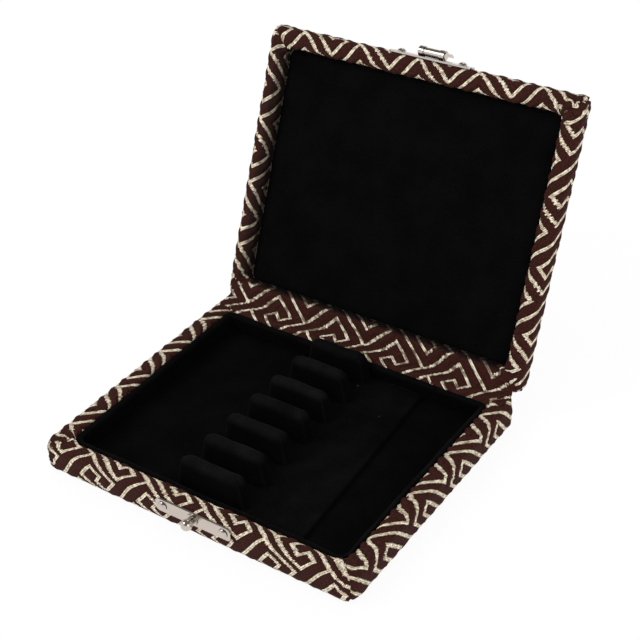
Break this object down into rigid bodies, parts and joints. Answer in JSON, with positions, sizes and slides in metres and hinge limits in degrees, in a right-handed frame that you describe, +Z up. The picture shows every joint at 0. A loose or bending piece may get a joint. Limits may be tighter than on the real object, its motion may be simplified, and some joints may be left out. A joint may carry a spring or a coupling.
{
  "type": "oboe reed case",
  "caption": "Flat hinged case covered in fret-pattern brocade, with velvet fins that hold oboe reeds apart and a snap hasp over a ball stud.",
  "frame": {"origin": "middle of the underside of the base", "axes": "+X to the right along the front, +Y from the front to the hinge, +Z up"},
  "size_m": [0.1, 0.1317, 0.0867],
  "materials": {
    "brocade": "woven brocade, dark maroon with pale gold frets",
    "velvet": "black velvet",
    "board": "raw thin board",
    "nickel": "nickel plate"
  },
  "bodies": {
    "base": {"base_board": "board", "base_wall_front": "board", "base_wall_rear": "board", "base_wall_left": "board", "base_wall_right": "board", "base_cover_panel": "brocade", "base_cover_sides": "brocade", "base_wall_lining": "velvet", "base_floor_velvet": "velvet", "reed_bed": "velvet", "fin_1": "velvet", "fin_2": "velvet", "fin_3": "velvet", "fin_4": "velvet", "fin_5": "velvet", "fin_6": "velvet", "fin_7": "velvet", "hinge_cloth_base_half": "brocade", "latch_base_plate": "nickel", "latch_ball_stud": "nickel", "latch_base_nails": "nickel"},
    "lid": {"lid_board": "board", "lid_wall_front": "board", "lid_wall_rear": "board", "lid_wall_left": "board", "lid_wall_right": "board", "lid_cover_panel": "brocade", "lid_cover_sides": "brocade", "lid_velvet_panel": "velvet", "hinge_cloth_lid_half": "brocade", "catch_plate": "nickel", "catch_pin": "nickel", "catch_nails": "nickel"},
    "hasp": {"hasp": "nickel"}
  },
  "joints": [
    {"name": "lid_hinge", "type": "hinge", "parent": "base", "child": "lid", "pos_m": [0, 0.041, 0.0097], "axis": [1, 0, 0], "range_deg": [0, 113.6]},
    {"name": "hasp_hinge", "type": "hinge", "parent": "lid", "child": "hasp", "pos_m": [0.0023, 0.0775, 0.08526], "axis": [1, 0, 0], "range_deg": [0, 180]}
  ]
}
